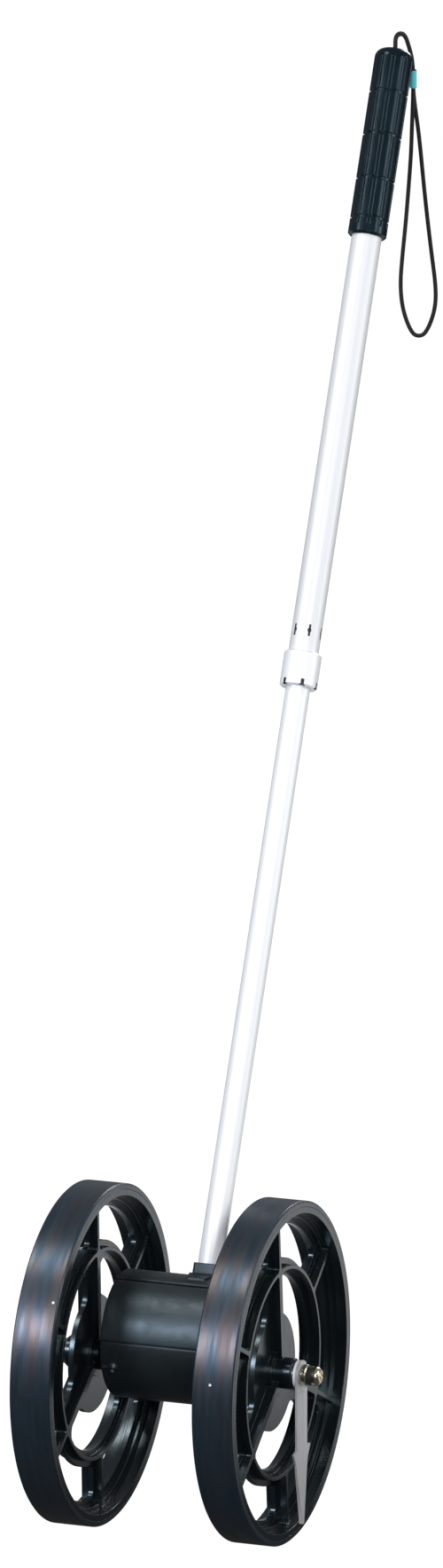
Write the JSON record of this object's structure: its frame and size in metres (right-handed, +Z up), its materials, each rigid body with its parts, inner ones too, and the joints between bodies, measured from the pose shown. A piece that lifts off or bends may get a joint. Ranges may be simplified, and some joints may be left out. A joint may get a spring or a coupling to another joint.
{
  "type": "walking measuring wheel",
  "caption": "Walking measuring wheel on spoked running wheels, with a start pointer, a drum housing with a geared number counter, a telescopic pole, a grip and a wrist strap.",
  "frame": {"origin": "on the ground midway between the two wheels, straight below the axle", "axes": "+X along the axle to the pointer's side, +Y back to the person who pushes it, +Z up"},
  "size_m": [0.2575, 0.7258, 1.3152],
  "materials": {
    "tyre": "satin rubber tread",
    "wheel_moulding": "glossy black moulding",
    "bright_steel": "bright",
    "screw_brass": "pale brass",
    "shaft_steel": "ground",
    "brass": "turned",
    "bush": "moulded",
    "housing": "satin black moulding",
    "window": "clear",
    "tube": "bright anodised",
    "clamp": "satin moulding",
    "grip": "soft dark blue-black",
    "strap": "limp braided cord",
    "sleeve": "turquoise tube",
    "pointer": "satin grey",
    "nylon": "white",
    "collar": "turned",
    "grommet": "dark",
    "gear": "moulded",
    "counter_frame": "pressed sheet",
    "number_wheel": "white with painted digits",
    "reset": "moulded"
  },
  "bodies": {
    "frame": {"housing_lower": "housing", "housing_upper": "housing", "housing_cap": "housing", "housing_screws": "bright_steel", "cap_screws": "bright_steel", "counter_window": "window", "left_bush": "bush", "right_bush": "bush", "counter_frame": "counter_frame", "idler_stud": "shaft_steel", "pinion_shaft": "shaft_steel", "lower_tube": "tube", "tube_pin": "bright_steel", "guide_bush": "bush"},
    "wheelset": {"axle": "bright_steel", "left_wheel": "wheel_moulding", "right_wheel": "wheel_moulding", "left_tyre": "tyre", "right_tyre": "tyre", "left_spacer": "brass", "right_spacer": "brass", "drive_gear": "gear", "left_end_washer": "bright_steel", "left_end_screw": "bright_steel", "pointer_sleeve": "shaft_steel", "pointer_washer": "nylon", "pointer_collar": "collar", "pointer_grommet": "grommet", "pointer_screw": "screw_brass"},
    "pointer": {"pointer": "pointer"},
    "idler": {"idler_gear": "gear"},
    "counter_drive": {"counter_shaft": "shaft_steel", "counter_gear": "gear", "number_wheel_1": "number_wheel"},
    "number_2": {"number_wheel_2": "number_wheel"},
    "number_3": {"number_wheel_3": "number_wheel"},
    "number_4": {"number_wheel_4": "number_wheel"},
    "number_5": {"number_wheel_5": "number_wheel"},
    "pinion_1": {"transfer_pinion_1": "gear"},
    "pinion_2": {"transfer_pinion_2": "gear"},
    "pinion_3": {"transfer_pinion_3": "gear"},
    "pinion_4": {"transfer_pinion_4": "gear"},
    "upper_pole": {"upper_tube": "tube", "collet": "clamp", "end_plug": "bush", "grip": "grip", "wrist_strap": "strap", "strap_sleeve": "sleeve"},
    "clamp": {"clamp_nut": "tube"},
    "reset": {"reset_button": "reset", "reset_comb": "reset"}
  },
  "joints": [
    {"name": "wheel_spin", "type": "hinge", "parent": "frame", "child": "wheelset", "pos_m": [0, 0, 0.15915], "axis": [1, 0, 0], "continuous": true},
    {"name": "pointer_swing", "type": "hinge", "parent": "frame", "child": "pointer", "pos_m": [0.1171, 0, 0.15915], "axis": [1, 0, 0], "continuous": true},
    {"name": "idler_spin", "type": "hinge", "parent": "frame", "child": "idler", "pos_m": [-0.045, 0.01238, 0.18538], "axis": [1, 0, 0], "continuous": true},
    {"name": "counter_spin", "type": "hinge", "parent": "frame", "child": "counter_drive", "pos_m": [-0.0224, 0.02475, 0.21161], "axis": [1, 0, 0], "continuous": true},
    {"name": "number_2_spin", "type": "hinge", "parent": "frame", "child": "number_2", "pos_m": [-0.0224, 0.02475, 0.21161], "axis": [1, 0, 0], "continuous": true},
    {"name": "number_3_spin", "type": "hinge", "parent": "frame", "child": "number_3", "pos_m": [-0.0224, 0.02475, 0.21161], "axis": [1, 0, 0], "continuous": true},
    {"name": "number_4_spin", "type": "hinge", "parent": "frame", "child": "number_4", "pos_m": [-0.0224, 0.02475, 0.21161], "axis": [1, 0, 0], "continuous": true},
    {"name": "number_5_spin", "type": "hinge", "parent": "frame", "child": "number_5", "pos_m": [-0.0224, 0.02475, 0.21161], "axis": [1, 0, 0], "continuous": true},
    {"name": "pinion_1_spin", "type": "hinge", "parent": "frame", "child": "pinion_1", "pos_m": [-0.0224, 0.00719, 0.20245], "axis": [1, 0, 0], "continuous": true},
    {"name": "pinion_2_spin", "type": "hinge", "parent": "frame", "child": "pinion_2", "pos_m": [-0.0224, 0.00719, 0.20245], "axis": [1, 0, 0], "continuous": true},
    {"name": "pinion_3_spin", "type": "hinge", "parent": "frame", "child": "pinion_3", "pos_m": [-0.0224, 0.00719, 0.20245], "axis": [1, 0, 0], "continuous": true},
    {"name": "pinion_4_spin", "type": "hinge", "parent": "frame", "child": "pinion_4", "pos_m": [-0.0224, 0.00719, 0.20245], "axis": [1, 0, 0], "continuous": true},
    {"name": "pole_slide", "type": "slide", "parent": "frame", "child": "upper_pole", "axis": [0, 0.4267, 0.9044], "range_m": [-0.46, 0]},
    {"name": "clamp_turn", "type": "hinge", "parent": "upper_pole", "child": "clamp", "pos_m": [0.0131, 0.28036, 0.75333], "axis": [0, 0.4267, 0.9044], "range_deg": [0, 120]},
    {"name": "reset_press", "type": "slide", "parent": "frame", "child": "reset", "axis": [0, -0.9044, 0.4267], "range_m": [0, 0.0035], "stiffness_N_per_m": 300, "springref_m": -0.003}
  ],
  "couplings": [
    {"joint": "idler_spin", "follows": "wheel_spin", "ratio": -0.70588},
    {"joint": "counter_spin", "follows": "wheel_spin", "ratio": 1},
    {"joint": "number_2_spin", "follows": "wheel_spin", "ratio": 0.1},
    {"joint": "number_3_spin", "follows": "wheel_spin", "ratio": 0.01},
    {"joint": "number_4_spin", "follows": "wheel_spin", "ratio": 0.001},
    {"joint": "number_5_spin", "follows": "wheel_spin", "ratio": 0.0001},
    {"joint": "pinion_1_spin", "follows": "wheel_spin", "ratio": -0.25},
    {"joint": "pinion_2_spin", "follows": "wheel_spin", "ratio": -0.025},
    {"joint": "pinion_3_spin", "follows": "wheel_spin", "ratio": -0.0025},
    {"joint": "pinion_4_spin", "follows": "wheel_spin", "ratio": -0.00025}
  ]
}
